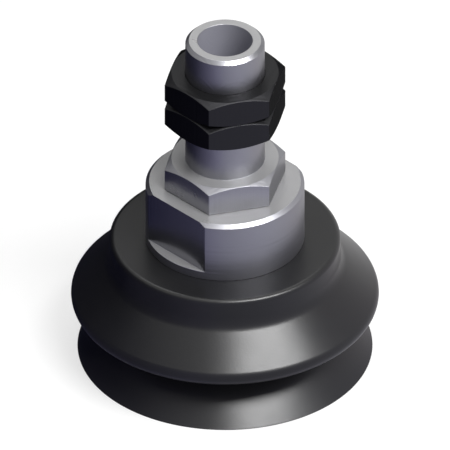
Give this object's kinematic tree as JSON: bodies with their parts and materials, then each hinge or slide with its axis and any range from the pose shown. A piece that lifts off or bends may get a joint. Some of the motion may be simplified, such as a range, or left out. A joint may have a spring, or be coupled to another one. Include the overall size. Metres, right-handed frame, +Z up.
{
  "type": "bellows suction cup",
  "caption": "Rubber bellows suction cup on a round metal holder, with a hollow threaded stud, hexagon and jam nuts for fastening it to a gripper and feeding it vacuum.",
  "frame": {"origin": "centre of the lip's sealing plane, at the bottom of the part", "axes": "+Z up the threaded stud, the way the vacuum leaves; the holder's wrench flats face -Y and +Y"},
  "size_m": [0.0852, 0.0852, 0.1032],
  "materials": {
    "nickel_plated_steel": "satin",
    "turned_aluminium": "satin",
    "black_oxide_steel": "satin",
    "black_rubber": "matte",
    "stainless_steel": "satin",
    "zinc_plated_steel": "satin",
    "seal_rubber": "satin",
    "spring_steel": "satin"
  },
  "bodies": {
    "fitting": {"hex_nipple": "nickel_plated_steel", "cup_holder": "turned_aluminium", "nipple_o_ring": "seal_rubber", "clamp_plate": "turned_aluminium", "filter_screen": "stainless_steel", "filter_snap_ring": "spring_steel", "clamp_screw_1": "zinc_plated_steel", "clamp_screw_2": "zinc_plated_steel", "clamp_screw_3": "zinc_plated_steel", "clamp_screw_4": "zinc_plated_steel", "clamp_screw_5": "zinc_plated_steel", "clamp_screw_6": "zinc_plated_steel", "lock_washer_1": "spring_steel", "lock_washer_2": "spring_steel", "lock_washer_3": "spring_steel", "lock_washer_4": "spring_steel", "lock_washer_5": "spring_steel", "lock_washer_6": "spring_steel"},
    "cup": {"bellows": "black_rubber"},
    "lower_nut": {"lower_jam_nut": "black_oxide_steel"},
    "upper_nut": {"upper_jam_nut": "black_oxide_steel"}
  },
  "joints": [
    {"name": "bellows_stroke", "type": "slide", "parent": "fitting", "child": "cup", "axis": [0, 0, 1], "range_m": [0, 0.014], "stiffness_N_per_m": 2500, "deforming": ["bellows"]},
    {"name": "lower_nut_travel", "type": "slide", "parent": "fitting", "child": "lower_nut", "axis": [0, 0, 1], "range_m": [-0.01285, 0]},
    {"name": "upper_nut_travel", "type": "slide", "parent": "fitting", "child": "upper_nut", "axis": [0, 0, 1], "range_m": [0, 0.01075]}
  ]
}
